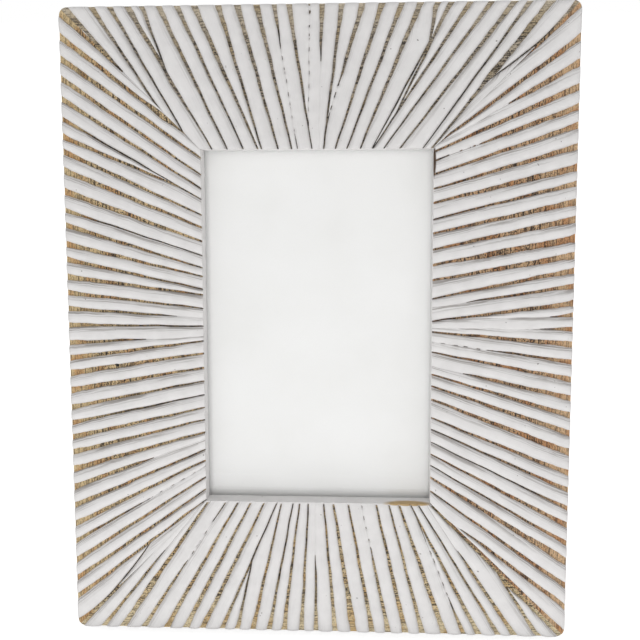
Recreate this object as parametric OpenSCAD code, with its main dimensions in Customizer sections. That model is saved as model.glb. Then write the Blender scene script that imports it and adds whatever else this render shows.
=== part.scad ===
// Wooden picture frame: four carved, whitewashed members mitred round a sight opening,
// with glass and cards in a rebate, turn buttons, hangers and a hinged easel strut behind.
//
// Every piece is drawn with the frame upright: x across, z up from its bottom edge, y back
// from the carving, with y = 0 on the back of the wood. The whole is then leant back
// until the heel of the frame and the foot of the strut both stand on z = 0.

/* [Frame] */
// Overall width of the frame
frame_w = 203; // [160:1:300]
// Overall height of the frame
frame_h = 254; // [210:1:360]
// Width of each of the four members
member_w = 55.5; // [40:0.5:60]
// Thickness from the back of the wood to the top of a rib
frame_t = 17; // [15:0.5:25]
// Radius of the outer corners
corner_r = 3; // [1.5:0.5:6]
// How far the standing frame leans back from upright, in degrees
lean_angle = 15; // [10:1:20]

/* [Carving] */
// Ribs on the top rail
top_ribs = 27; // [20:1:34]
// Ribs on the bottom rail
bottom_ribs = 26; // [20:1:34]
// Ribs on the left stile
left_ribs = 34; // [26:1:42]
// Ribs on the right stile
right_ribs = 33; // [26:1:42]
// Height of a rib above the groove floor near the outer edge
rib_h = 2.4; // [1:0.1:3.5]
// Height of a rib above the groove floor at the sight edge
rib_inner_h = 1.9; // [1:0.1:3.5]
// Fullness of a rib's rounded section, where 2 is an ellipse
rib_fullness = 2.6; // [2:0.1:4]
// Width of a groove's flat floor at the outer edge
groove_outer_w = 2; // [1:0.1:3]
// Width of a groove's flat floor at the sight edge
groove_inner_w = 0.8; // [0.4:0.1:1.5]
// Distance of the first groove from the frame's corner
corner_margin = 3.9; // [3.5:0.1:7]
// Distance of the point that the top rail's grooves aim at, as a share of half its length
top_fan = 1.08; // [1.05:0.01:1.6]
// The same for the bottom rail
bottom_fan = 1.11; // [1.05:0.01:1.6]
// The same for the left stile
left_fan = 1.21; // [1.05:0.01:1.6]
// The same for the right stile
right_fan = 1.31; // [1.05:0.01:1.6]
// How far the inner ends of the top rail's grooves lean to one side
top_lean = 2.7; // [0:0.1:4]
// The same for the bottom rail
bottom_lean = 2.1; // [0:0.1:4]
// The same for the left stile
left_lean = 0.9; // [0:0.1:4]
// The same for the right stile
right_lean = 2.9; // [0:0.1:4]
// How much wider the ribs are spaced at the corners than in the middle
pitch_growth = 0.18; // [0:0.01:0.4]
// Length of the rounding on a rib's outer end
end_round = 2.2; // [1:0.1:4]
// How far a rib's outer end draws in on each side
end_squeeze = 0.9; // [0:0.1:1]
// Share of a rib's height that its outer end drops
end_drop = 0.6; // [0:0.05:0.8]
// Width of the low lip that closes the grooves at the sight edge
lip_w = 1.3; // [0.5:0.1:3]
// Unevenness of the hand-cut grooves at the outer edge
outer_wander = 0.3; // [0:0.05:0.8]
// Unevenness of the hand-cut grooves at the sight edge
inner_wander = 0.3; // [0:0.05:0.6]
// Unevenness of the grooves' widths, as a share of the width
width_wander = 0.2; // [0:0.05:0.4]
// Slow drift of the spacing at the outer edge: reach in mm, waves in half a length, and phase
top_drift = [[3.4, 1, -2], [1.3, 3.4, 103]]; // one triple for each wave
// The same for the bottom rail
bottom_drift = [[2.8, 1.4, -84], [3.5, 0.8, 71]]; // one triple for each wave
// The same for the left stile
left_drift = [[0.7, 2.3, 24], [1.4, 0.8, -9]]; // one triple for each wave
// The same for the right stile
right_drift = [[3.1, 0.8, 131], [0.9, 2.9, 149]]; // one triple for each wave
// Drift of the spacing at the sight edge, beside what the fan gives, on the top rail
top_end_drift = [[4, 1.4, -136]]; // one triple for each wave
// The same for the bottom rail
bottom_end_drift = [[2, 0.8, -25], [2, 2.1, -99]]; // one triple for each wave
// The same for the left stile
left_end_drift = [[1.4, 1.8, -71], [2, 2.8, -173]]; // one triple for each wave
// The same for the right stile
right_end_drift = [[2, 2.3, -176], [2, 1.4, -95]]; // one triple for each wave

/* [Rebate and its contents] */
// Width of the rebate behind the sight edge
rebate_w = 6; // [4:0.5:8]
// Gap all round what lies in the rebate
rebate_gap = 0.75; // [0.3:0.05:1.5]
// Thickness of the glass
glass_t = 2; // [1.5:0.1:3]
// Thickness of the white insert card
card_t = 0.4; // [0.2:0.1:1]
// Thickness of the grey filler card
filler_t = 2; // [1:0.1:3]
// Thickness of the backing board
board_t = 3; // [2.5:0.1:4]
// How far the backing board lies below the back of the wood
board_recess = 0.2; // [0.1:0.1:0.5]

/* [Hinge and strut] */
// Distance of the hinge pin below the top of the backing board
hinge_drop = 29.75; // [28:0.25:60]
// Width of the hinge
hinge_w = 40; // [30:1:50]
// Thickness of the hinge sheet
leaf_t = 1; // [0.8:0.1:1.2]
// Diameter of the hinge pin
pin_d = 2; // [1.5:0.1:2.4]
// Diametral play of the pin in the moving knuckle
pin_play = 0.1; // [0.04:0.02:0.16]
// Outer diameter of the hinge knuckles
knuckle_d = 4.4; // [4:0.1:5]
// Gap all round the moving knuckle
knuckle_gap = 0.3; // [0.2:0.05:0.6]
// Length of the moving knuckle
moving_knuckle_l = 14; // [8:1:18]
// Angle between the strut and the frame when the strut is open, in degrees
strut_angle = 28; // [24:1:34]
// Thickness of the strut
strut_t = 3; // [2.5:0.1:4]
// Width of the strut at its foot
strut_foot_w = 54; // [44:1:60]
// Width of the strut at its top
strut_top_w = 42; // [40:1:50]
// Radius of the corners at the top of the strut
strut_corner_r = 4; // [2:0.5:6]
// Gap left between the strut's heel and the hinge at the stop
stop_gap = 0.1; // [0.05:0.05:0.3]
// Diameter of the rivet shanks
rivet_d = 3; // [2:0.1:4]
// Diameter of the rivet heads
rivet_head_d = 5.6; // [4.5:0.1:7]
// Height of the rivet heads
rivet_head_h = 0.9; // [0.6:0.1:1.2]
// Distance between the two rivets of a leaf
rivet_spacing = 26; // [20:1:30]
// Gap between the heads of the board's rivets and the open strut's heel
rivet_head_gap = 0.7; // [0.3:0.1:1.5]
// Width of the sheet left beyond the rivet heads on each hinge leaf
leaf_edge = 1.8; // [1:0.1:4]

/* [Turn buttons] */
// Length of a turn button
button_l = 22; // [18:1:24]
// Width of a turn button
button_w = 9; // [7.5:0.5:11]
// Thickness of a turn button
button_t = 1.2; // [0.8:0.1:1.5]
// Clearance under a turn button
button_lift = 0.1; // [0.05:0.05:0.3]
// Distance of a button's screw from the edge of the rebate
button_inset = 7; // [6:0.5:8]
// Distance between the two buttons of a stile
button_spacing = 90; // [60:1:110]
// Diameter of the screw shanks
screw_d = 3.2; // [2.4:0.1:4]
// Diametral play of a button on its screw
screw_play = 0.2; // [0.1:0.05:0.4]
// Diameter of the screw heads
screw_head_d = 6.4; // [5.5:0.1:7]
// Height of the screw heads
screw_head_h = 1.5; // [1:0.1:1.8]
// Length of the screws below the button
screw_l = 9; // [6:0.5:11]
// Length of the screws' tapered points
screw_point_l = 3; // [2:0.5:5]
// Width of the slots in the screw heads
slot_w = 0.8; // [0.6:0.1:1.2]
// Depth of the slots in the screw heads
slot_depth = 0.7; // [0.4:0.1:0.9]

/* [Hangers and corner fasteners] */
// Length of a sawtooth hanger
hanger_l = 46; // [40:1:60]
// Height of a sawtooth hanger
hanger_h = 10; // [8:0.5:12]
// Length of each foot that holds a sawtooth hanger to the wood
hanger_foot_l = 7.4; // [5:0.2:9]
// Sheet thickness of a sawtooth hanger
hanger_t = 0.8; // [0.6:0.1:1]
// How far the middle of a hanger stands off the wood
hanger_rise = 1.2; // [0.8:0.1:2]
// Distance of a hanger's middle from the outer edge of its member
hanger_inset = 14; // [12:0.5:16]
// Number of teeth along a hanger
hanger_teeth = 9; // [5:1:13]
// Depth of the teeth
tooth_h = 2; // [1:0.1:3]
// Diameter of the hanger nails
nail_d = 1.4; // [1:0.1:1.8]
// Length of the hanger nails in the wood
nail_l = 8; // [6:0.5:10]
// Diameter of the nail heads
nail_head_d = 3.4; // [2.6:0.1:4]
// Height of the nail heads
nail_head_h = 0.6; // [0.4:0.1:1]
// Width of one wing of a corner fastener
v_wing = 5; // [4:0.5:7]
// Sheet thickness of a corner fastener
v_t = 0.6; // [0.4:0.1:1]
// Depth of a corner fastener in the wood
v_depth = 8; // [6:0.5:10]
// Angle between a corner fastener's wings and the mitre, in degrees
v_angle = 35; // [25:1:45]
// Distance of the outer corner fastener from both outer edges
v_first = 16; // [12:1:20]
// Distance between the two corner fasteners of a mitre, measured along an edge
v_spacing = 18; // [14:1:22]

/* [Hidden] */
$fn = 48;
// Small overlap that keeps joined and cut shapes from sharing a face
bite = 0.5;
half_w = frame_w / 2;
half_h = frame_h / 2;
rib_base = frame_t - rib_h;
rebate_depth = member_w - rebate_w;
rebate_d = glass_t + card_t + filler_t + board_t + board_recess;
// Columns in one groove and rib: both edges of the floor and four points over the rib
COLS = 6;
// Rows from the outer end of a column to its inner end
ROWS = 6;
// Distance between the four points over a rib, as a share of its width
rib_step = 0.253;
// Length of a column below which its end roundings shrink with it
short_column = 12;
// Depths of the outer rows, as shares of the end rounding
OUTER_ROWS = [0, 0.25, 0.8, 2];
// Power by which drift and unevenness fade out towards the ends of a member
fade = 8;
// Gap that keeps every column on its own side of the mitre
mitre_gap = 0.15;
// Height of the lip at the sight edge, as shares of a rib: on a groove and on a rib's top
LIP = [0.5, 0.8];
// What sets a member's carving: ribs, half its length, a number that sets its unevenness
// apart, drift outside and inside, reach and lean of its fan
TOP = [top_ribs, half_w, 3, top_drift, top_end_drift, top_fan, top_lean];
BOTTOM = [bottom_ribs, half_w, 5, bottom_drift, bottom_end_drift, bottom_fan, bottom_lean];
LEFT = [left_ribs, half_h, 8, left_drift, left_end_drift, left_fan, left_lean];
RIGHT = [right_ribs, half_h, 11, right_drift, right_end_drift, right_fan, right_lean];

// What lies in the rebate, from its floor at -rebate_d to the back
pane_w = frame_w - 2 * (rebate_depth + rebate_gap);
pane_h = frame_h - 2 * (rebate_depth + rebate_gap);
board_back = -board_recess;
hinge_z = half_h + pane_h / 2 - hinge_drop;

// Hinge, in the closed position
pin_y = board_back + knuckle_d / 2 + knuckle_gap;
strut_y = pin_y + knuckle_d / 2 + knuckle_gap;
strut_mid = strut_y + strut_t / 2 - pin_y;
leaf_top = board_back + leaf_t;
fixed_knuckle_l = (hinge_w - moving_knuckle_l) / 2 - knuckle_gap;
// The strut's heel rises until it bears on the fixed leaf at the full opening
heel = (pin_y + (strut_y - pin_y) * cos(strut_angle) - leaf_top - stop_gap) / sin(strut_angle);
// Height above the pin at which it bears, which sets the place of the rivets and the leaves
heel_up = heel * cos(strut_angle) + (strut_y - pin_y) * sin(strut_angle);
rivet_rise = heel_up + rivet_head_gap + rivet_head_d / 2;
leaf_h = rivet_rise + rivet_head_d / 2 + leaf_edge;
// Angle of the open strut from upright, and its reach from the pin to the floor
foot_angle = strut_angle - lean_angle;
pin_up = hinge_z * cos(lean_angle) - pin_y * sin(lean_angle);
pin_back = hinge_z * sin(lean_angle) + pin_y * cos(lean_angle);
strut_reach = (pin_up + strut_mid * sin(foot_angle)) / cos(foot_angle);
// Front and back limits of the standing frame, which centre it over the origin
front_y = -max([for (r = [0 : 3]) let (d = outer_row(r, 1))
    (rib_base + rib_h * rib_end(d)) * cos(lean_angle) - d * sin(lean_angle)]);
foot_y = pin_back + strut_mid * cos(foot_angle) + strut_reach * sin(foot_angle)
    + strut_t / 2 / cos(foot_angle);
stand_y = -(front_y + foot_y) / 2;

// Turn button places: [x, z, angle], each pointing inward over the board
edge_x = half_w - rebate_depth + button_inset;
edge_z = half_h - rebate_depth + button_inset;
BUTTONS = [
    [0, half_h + edge_z, 180],
    [-edge_x, half_h + button_spacing / 2, 90],
    [-edge_x, half_h - button_spacing / 2, 90],
    [0, half_h - edge_z, 0],
    [edge_x, half_h - button_spacing / 2, -90],
    [edge_x, half_h + button_spacing / 2, -90]
];

// Rules of the carving. A member lies with u along it from its middle, d inward from its
// outer edge and h up from its back. All lengths are in millimetres, all angles in degrees.

function mix(a, b, t) = a + (b - a) * t;

// A number from -1 to 1 that seems random but is always the same
function wander(i, seed) = sin(i * i * 47 + i * 83 + seed * 131);

// Quarter circle that falls from 1 at the outer edge to 0 past the end rounding
function end_curve(d) =
    let (q = max(0, 1 - d / end_round))
    1 - sqrt(1 - q * q);

// Share of a rib's height that stands at depth d
function rib_end(d) = 1 - end_drop * end_curve(d);

// Height of a rib across its width, where f runs from 0 to 1, as a superellipse
function rib_section(f) = sqrt(1 - pow(abs(2 * f - 1), rib_fullness));

// Slow drift of the groove spacing at t, which runs from -1 to 1 along the member
function drift_at(t, drift) =
    [for (wave = drift) wave[0] * sin(180 * wave[1] * t + wave[2])] * [for (wave = drift) 1];

// Place of groove i from -1 to 1, and how far it may leave the even spacing there
function groove_t(i, c) = 2 * i / c[0] - 1;
function freedom(i, c) = 1 - pow(groove_t(i, c), fade);

// Middle of groove i at the outer edge: evenly spaced, wider towards the corners, drifting
function groove_start(i, c) =
    let (t = groove_t(i, c), reach = c[1] - corner_margin)
    reach * (t + pitch_growth * t * abs(t)) / (1 + pitch_growth)
    + freedom(i, c) * (drift_at(t, c[3]) + outer_wander * wander(i, c[2]));

// Middle of groove i at the sight edge, on a line that aims at the fan's far point
function groove_finish(i, c) =
    groove_start(i, c) * (1 - member_w / (c[5] * c[1]))
    + freedom(i, c) * (c[6] + drift_at(groove_t(i, c), c[4]) + inner_wander * wander(i + 50, c[2]));

// Middle of groove i at depth d
function groove_at(i, c, d) = mix(groove_start(i, c), groove_finish(i, c), d / member_w);

// Half the width of a groove's floor at depth d
function groove_half(i, c, d) =
    mix(groove_outer_w, groove_inner_w, d / member_w) / 2 * (1 + width_wander * wander(i + 7, c[2]))
    + end_squeeze * end_curve(d);

// Place of column k at depth d: two edges of a groove's floor, then four points over a rib
function column_at(k, c, d) =
    let (g = floor(k / COLS), m = k % COLS,
         middle = groove_at(g, c, d),
         floor_half = groove_half(g, c, d))
    m == 0 ? middle - floor_half :
    m == 1 ? middle + floor_half :
    mix(middle + floor_half, groove_at(g + 1, c, d) - groove_half(g + 1, c, d), rib_share(m));

// Share of a rib's width at which its column m stands
function rib_share(m) = 0.5 + (m - 3.5) * rib_step;

// Depth of the outer edge at u, where the corner is rounded
function edge_depth(u, half) =
    let (q = max(0, abs(u) - (half - corner_r)))
    corner_r - sqrt(corner_r * corner_r - min(q, corner_r) * min(q, corner_r));

// Depth of outer row r below the edge, where s shrinks it on a short column
function outer_row(r, s) = OUTER_ROWS[r] * end_round * s;

// Depth at which column k meets the mitre, from its straight stretch
function mitre_depth(k, c) =
    let (d1 = 2 * end_round,
         u1 = abs(column_at(k, c, d1)),
         u2 = abs(column_at(k, c, member_w)),
         slope = (u1 - u2) / (member_w - d1))
    (c[1] - u1 - slope * d1) / (1 - slope);

// One carved member as a closed surface. Its front is a net of columns, each of which runs
// from the outer edge to the sight edge or, near the corners, to the mitre.
module carved_member(c) {
    half = c[1];
    last = COLS * c[0] + 1;
    sight = half - member_w;
    finish = [for (k = [0 : last]) column_at(k, c, member_w)];
    inside = [for (k = [0 : last]) if (abs(finish[k]) <= sight) k];
    left = inside[0];
    right = inside[len(inside) - 1];
    // Depth of each column's inner end: the ones beside the sight corners end on the rebate
    length = [for (k = [0 : last])
        k >= left && k <= right ? member_w :
        let (out = k < left ? left - 1 - k : k - right - 1)
        out == 0 ? rebate_depth :
        min(mitre_depth(k, c), rebate_depth - out)];
    end_u = [for (k = [0 : last])
        k > left && k < right ? finish[k] :
        (k <= left ? -1 : 1) * (half - length[k])];

    front = [for (k = [0 : last]) for (r = [0 : ROWS - 1])
        let (s = min(1, length[k] / short_column),
             edge = edge_depth(column_at(k, c, 0), half),
             d = r < 4 ? edge + outer_row(r, s) :
                 r == 4 ? length[k] - lip_w * s : length[k],
             bound = half - d - mitre_gap,
             free = column_at(k, c, d),
             u = r == ROWS - 1 ? end_u[k] : min(bound, max(-bound, free)),
             m = k % COLS,
             crown = mix(rib_h, rib_inner_h, d / member_w) * rib_end(d),
             lip = r == ROWS - 1 && k >= left && k <= right,
             full = m < 2 ? 0 : rib_section(rib_share(m)))
        [u, d, rib_base + crown * (lip ? mix(LIP[0], LIP[1], full) : full)]];
    outer_back = [for (k = [0 : last]) [front[k * ROWS][0], front[k * ROWS][1], 0]];
    inner_back = [for (k = [0 : last])
        [end_u[k], length[k], k >= left && k <= right ? rebate_d : 0]];
    corner = corner_r * (1 - sqrt(0.5));
    rebate_u = half - rebate_depth;
    extra = [
        [-(half - corner), corner, rib_base], [-(half - corner), corner, 0],
        [half - corner, corner, rib_base], [half - corner, corner, 0],
        [-rebate_u, rebate_depth, rebate_d], [rebate_u, rebate_depth, rebate_d],
        [0, rebate_depth, 0], [0, rebate_depth, rebate_d]
    ];

    // Numbers of the points
    a0 = (last + 1) * ROWS;
    e0 = a0 + last + 1;
    x0 = e0 + last + 1;
    left_top = x0;
    left_low = x0 + 1;
    right_top = x0 + 2;
    right_low = x0 + 3;
    left_rebate = x0 + 4;
    right_rebate = x0 + 5;
    mid_low = x0 + 6;
    mid_rebate = x0 + 7;
    function top_end(k) = k < 0 ? left_top : k > last ? right_top : k * ROWS + ROWS - 1;
    function low_end(k) = k < 0 ? left_low : k > last ? right_low : e0 + k;
    rim = concat([for (k = [left - 1 : -1 : -1]) low_end(k)],
                 [for (k = [0 : last]) a0 + k],
                 [for (k = [last + 1 : -1 : right + 1]) low_end(k)]);

    carved = [for (k = [0 : last - 1]) for (r = [0 : ROWS - 2])
        let (p = k * ROWS + r, q = p + ROWS)
        each [[p, p + 1, q + 1], [p, q + 1, q]]];
    corner_fans = [for (r = [0 : ROWS - 2])
        each [[left_top, r + 1, r], [right_top, last * ROWS + r, last * ROWS + r + 1]]];
    outer_wall = [for (k = [0 : last - 1])
        each [[a0 + k, k * ROWS, (k + 1) * ROWS], [a0 + k, (k + 1) * ROWS, a0 + k + 1]]];
    outer_ends = [
        [left_low, left_top, 0], [left_low, 0, a0],
        [a0 + last, last * ROWS, right_top], [a0 + last, right_top, right_low]
    ];
    inner_wall = [for (k = [-1 : last])
        let (b = k + 1)
        each b == left - 1 ?
            [[low_end(b), left_rebate, low_end(k)],
             [left_rebate, top_end(b), top_end(k)], [left_rebate, top_end(k), low_end(k)]] :
        k == left - 1 ?
            [[low_end(b), top_end(b), top_end(k)], [low_end(b), top_end(k), left_rebate]] :
        b == right + 1 ?
            [[right_rebate, top_end(b), top_end(k)], [right_rebate, top_end(k), low_end(k)]] :
        k == right + 1 ?
            [[low_end(b), top_end(b), top_end(k)], [low_end(b), top_end(k), right_rebate],
             [low_end(b), right_rebate, low_end(k)]] :
            [[low_end(b), top_end(b), top_end(k)], [low_end(b), top_end(k), low_end(k)]]];
    back_face = [for (i = [0 : len(rim) - 2]) [mid_low, rim[i], rim[i + 1]]];
    rebate_wall = [
        [low_end(right + 1), right_rebate, mid_rebate], [low_end(right + 1), mid_rebate, mid_low],
        [mid_low, mid_rebate, left_rebate], [mid_low, left_rebate, low_end(left - 1)]
    ];
    rebate_floor = concat(
        [[mid_rebate, right_rebate, low_end(right)], [mid_rebate, low_end(left), left_rebate]],
        [for (k = [left : right - 1]) [mid_rebate, low_end(k + 1), low_end(k)]]);

    polyhedron(
        points = concat(front, outer_back, inner_back, extra),
        faces = concat(carved, corner_fans, outer_wall, outer_ends, inner_wall,
                       back_face, rebate_wall, rebate_floor)
    );
}

// Places of the pieces

// Stands the upright frame on the table, leaning back
module standing() {
    translate([0, stand_y, 0]) rotate([-lean_angle, 0, 0]) children();
}

// Opens what is drawn with the strut closed
module opened() {
    translate([0, pin_y, hinge_z]) rotate([strut_angle, 0, 0])
        translate([0, -pin_y, -hinge_z]) children();
}

// Turns a member from the bottom edge to another edge: turn is 0, 90, 180 or 270 degrees
module on_edge(turn, reach) {
    translate([0, 0, half_h]) rotate([0, turn, 0]) translate([0, 0, -reach])
        rotate([90, 0, 0]) children();
}

module top_rail() {
    color("gainsboro") standing() on_edge(180, half_h)
        carved_member(TOP);
}

module bottom_rail() {
    color("whitesmoke") standing() on_edge(0, half_h)
        carved_member(BOTTOM);
}

module left_stile() {
    color("gainsboro") standing() on_edge(90, half_w)
        carved_member(LEFT);
}

module right_stile() {
    color("whitesmoke") standing() on_edge(270, half_w)
        carved_member(RIGHT);
}

// A flat sheet in the rebate, with its front y0 measured from the back of the wood
module sheet_in_rebate(y0, thickness) {
    translate([-pane_w / 2, y0, half_h - pane_h / 2]) cube([pane_w, thickness, pane_h]);
}

module glass_pane() {
    color("lightcyan") standing() sheet_in_rebate(-rebate_d, glass_t);
}

module insert_card() {
    color("white") standing() sheet_in_rebate(-rebate_d + glass_t, card_t);
}

module filler_card() {
    color("darkgray") standing() sheet_in_rebate(-rebate_d + glass_t + card_t, filler_t);
}

module backing_board() {
    color("saddlebrown") standing() difference() {
        sheet_in_rebate(board_back - board_t, board_t);
        rivet_places(hinge_z + rivet_rise) rotate([90, 0, 0])
            cylinder(d = rivet_d, h = 4 * board_t, center = true);
    }
}

// The two rivets of a leaf at height z
module rivet_places(z) {
    for (side = [-1, 1]) translate([side * rivet_spacing / 2, 0, z]) children();
}

// A rivet along y whose head sits on y1 and whose other end reaches y0
module rivet(y0, y1) {
    translate([0, y0, 0]) rotate([-90, 0, 0]) cylinder(d = rivet_d, h = y1 - y0);
    translate([0, y1, 0]) rotate([-90, 0, 0]) rivet_head();
}

// A low domed head: a slice of a sphere that is rivet_head_d wide
module rivet_head() {
    dome_r = (pow(rivet_head_d / 2, 2) + pow(rivet_head_h, 2)) / (2 * rivet_head_h);
    intersection() {
        translate([0, 0, rivet_head_h - dome_r]) sphere(r = dome_r);
        cylinder(d = rivet_head_d + bite, h = rivet_head_h + bite);
    }
}

// A hinge knuckle along x of length l about the pin, bored to diameter d
module knuckle(x, l, d) {
    translate([x, pin_y, hinge_z]) rotate([0, 90, 0]) difference() {
        cylinder(d = knuckle_d, h = l);
        translate([0, 0, -bite]) cylinder(d = d, h = l + 2 * bite);
    }
}

module pin_hole(d) {
    translate([-hinge_w / 2 - bite, pin_y, hinge_z]) rotate([0, 90, 0])
        cylinder(d = d, h = hinge_w + 2 * bite);
}

module board_hinge_leaf() {
    color("silver") standing() difference() {
        union() {
            translate([-hinge_w / 2, board_back, hinge_z + knuckle_d / 2 + knuckle_gap])
                cube([hinge_w, leaf_t, leaf_h - knuckle_d / 2 - knuckle_gap]);
            for (x = [-hinge_w / 2, hinge_w / 2 - fixed_knuckle_l]) {
                knuckle(x, fixed_knuckle_l, pin_d);
                translate([x, board_back, hinge_z])
                    cube([fixed_knuckle_l, leaf_t, leaf_h]);
            }
        }
        rivet_places(hinge_z + rivet_rise) rotate([90, 0, 0])
            cylinder(d = rivet_d, h = 4 * board_t, center = true);
        pin_hole(pin_d);
    }
}

module hinge_pin() {
    color("dimgray") standing() translate([-hinge_w / 2, pin_y, hinge_z])
        rotate([0, 90, 0]) cylinder(d = pin_d, h = hinge_w);
}

module board_rivets() {
    color("darkgray") standing() rivet_places(hinge_z + rivet_rise)
        rivet(board_back - board_t, leaf_top);
}

// The strut's leaf lies on its inner face and curls round the pin in the middle
module strut_hinge_leaf() {
    color("silver") standing() opened() difference() {
        union() {
            translate([-hinge_w / 2, strut_y - leaf_t, hinge_z - leaf_h])
                cube([hinge_w, leaf_t, leaf_h - knuckle_d / 2 - knuckle_gap]);
            translate([-moving_knuckle_l / 2, strut_y - leaf_t, hinge_z - leaf_h])
                cube([moving_knuckle_l, leaf_t, leaf_h]);
            knuckle(-moving_knuckle_l / 2, moving_knuckle_l, pin_d + pin_play);
        }
        rivet_places(hinge_z - rivet_rise) rotate([90, 0, 0])
            cylinder(d = rivet_d, h = 4 * strut_y, center = true);
        pin_hole(pin_d + pin_play);
    }
}

// Outline of the strut from its heel down past the floor, tapered with round top corners
module strut_outline() {
    slope = (strut_foot_w - strut_top_w) / 2 / (strut_reach + heel);
    low = strut_reach + strut_t;
    difference() {
        polygon([
            [-strut_top_w / 2, heel], [strut_top_w / 2, heel],
            [strut_top_w / 2 + slope * (low + heel), -low],
            [-strut_top_w / 2 - slope * (low + heel), -low]
        ]);
        for (side = [-1, 1])
            translate([side * (strut_top_w / 2 - strut_corner_r), heel - strut_corner_r])
            difference() {
                translate([side > 0 ? 0 : -2 * strut_corner_r, 0]) square(2 * strut_corner_r);
                circle(r = strut_corner_r);
            }
    }
}

module strut_board() {
    color("saddlebrown") difference() {
        standing() opened() difference() {
            translate([0, strut_y + strut_t, hinge_z]) rotate([90, 0, 0])
                linear_extrude(strut_t) strut_outline();
            rivet_places(hinge_z - rivet_rise) rotate([90, 0, 0])
                cylinder(d = rivet_d, h = 4 * (strut_y + strut_t), center = true);
        }
        // The foot is cut level with the table
        translate([-strut_foot_w, 0, -2 * strut_t])
            cube([2 * strut_foot_w, frame_h, 2 * strut_t]);
    }
}

module strut_rivets() {
    color("darkgray") standing() opened() rivet_places(hinge_z - rivet_rise)
        rivet(strut_y - leaf_t, strut_y + strut_t);
}

// A flat tab with round ends, drawn about its screw and pointing along +z
module turn_button(i) {
    r = button_w / 2;
    place = BUTTONS[i - 1];
    color("lightsteelblue") standing()
        translate([place[0], button_lift + button_t, place[1]]) rotate([0, place[2], 0])
        rotate([90, 0, 0]) linear_extrude(button_t) difference() {
            union() {
                circle(r = r);
                translate([0, button_l - button_w]) circle(r = r);
                translate([-r, 0]) square([button_w, button_l - button_w]);
            }
            circle(d = screw_d + screw_play);
        }
}

// Round-headed slotted screws, one through each button
module turn_button_screws() {
    head_y = button_t + 2 * button_lift;
    color("silver") standing() for (place = BUTTONS)
        translate([place[0], head_y, place[1]]) rotate([-90, 0, 0]) difference() {
            union() {
                translate([0, 0, -head_y - screw_l])
                    cylinder(d1 = screw_d / 4, d2 = screw_d, h = screw_point_l);
                translate([0, 0, -head_y - screw_l + screw_point_l])
                    cylinder(d = screw_d, h = screw_l + head_y - screw_point_l);
                cylinder(d1 = screw_head_d, d2 = 0.7 * screw_head_d, h = screw_head_h);
            }
            translate([-screw_head_d, -slot_w / 2, screw_head_h - slot_depth])
                cube([2 * screw_head_d, slot_w, 2 * slot_depth]);
        }
}

// A sawtooth hanger drawn flat about its middle: u along it, v across, w off the wood
module sawtooth_hanger() {
    inner = hanger_l / 2 - hanger_foot_l;
    raised = inner - hanger_rise;
    pitch = 2 * raised / hanger_teeth;
    // Shift of the bend lines that keeps the sloping sheet as thick as the flat one
    bend = hanger_t * tan(22.5);
    difference() {
        rotate([90, 0, 0]) translate([0, 0, -hanger_h / 2]) linear_extrude(hanger_h) polygon([
            [-hanger_l / 2, 0], [-inner, 0], [-raised, hanger_rise],
            [raised, hanger_rise], [inner, 0], [hanger_l / 2, 0],
            [hanger_l / 2, hanger_t], [inner + bend, hanger_t],
            [raised + bend, hanger_rise + hanger_t],
            [-raised - bend, hanger_rise + hanger_t], [-inner - bend, hanger_t],
            [-hanger_l / 2, hanger_t]
        ]);
        for (i = [0 : hanger_teeth - 1])
            translate([-raised + (i + 0.5) * pitch, -hanger_h / 2, 0])
                linear_extrude(hanger_rise + 2 * hanger_t) polygon([
                    [-pitch / 2, -bite], [0, tooth_h], [pitch / 2, -bite]
                ]);
        hanger_nail_places() translate([0, 0, -bite])
            cylinder(d = nail_d, h = hanger_t + 2 * bite);
    }
}

// The middle of each foot of a hanger
module hanger_nail_places() {
    for (side = [-1, 1]) translate([side * (hanger_l - hanger_foot_l) / 2, 0, 0]) children();
}

// Lays a hanger on the back of the top rail or of a stile
module on_top_rail() {
    translate([0, 0, frame_h - hanger_inset]) rotate([90, 0, 0]) mirror([0, 0, 1]) children();
}

module on_side_stile() {
    translate([half_w - hanger_inset, 0, half_h]) rotate([0, 90, 0]) rotate([90, 0, 0])
        mirror([0, 0, 1]) children();
}

module sawtooth_hanger_top() {
    color("goldenrod") standing() on_top_rail() sawtooth_hanger();
}

module sawtooth_hanger_side() {
    color("goldenrod") standing() on_side_stile() sawtooth_hanger();
}

// Small round-headed nails through the feet of both hangers
module nail_pair() {
    hanger_nail_places() {
        translate([0, 0, -nail_l]) cylinder(d = nail_d, h = nail_l + hanger_t);
        translate([0, 0, hanger_t])
            cylinder(d1 = nail_head_d, d2 = nail_head_d / 2, h = nail_head_h);
    }
}

module hanger_nails() {
    color("silver") standing() {
        on_top_rail() nail_pair();
        on_side_stile() nail_pair();
    }
}

// A folded V of sheet steel, drawn with its point on the mitre and flush with the wood
module v_nail() {
    for (side = [-1, 1]) rotate([0, side * v_angle, 0])
        translate([-v_t / 2, -v_depth, 0]) cube([v_t, v_depth, v_wing]);
}

module corner_v_nails() {
    color("silver") standing() for (x = [-1, 1], z = [-1, 1], depth = [v_first, v_first + v_spacing])
        translate([x * (half_w - depth), 0, half_h + z * (half_h - depth)])
            rotate([0, x * (z > 0 ? 45 : 135), 0]) v_nail();
}

top_rail();
bottom_rail();
left_stile();
right_stile();
corner_v_nails();
glass_pane();
insert_card();
filler_card();
backing_board();
board_hinge_leaf();
hinge_pin();
board_rivets();
strut_board();
strut_hinge_leaf();
strut_rivets();
turn_button(1);  // turn_button_1
turn_button(2);  // turn_button_2
turn_button(3);  // turn_button_3
turn_button(4);  // turn_button_4
turn_button(5);  // turn_button_5
turn_button(6);  // turn_button_6
turn_button_screws();
sawtooth_hanger_top();
sawtooth_hanger_side();
hanger_nails();
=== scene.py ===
import math
import bmesh
import bpy
import numpy as np
from mathutils import Matrix, Vector


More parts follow.
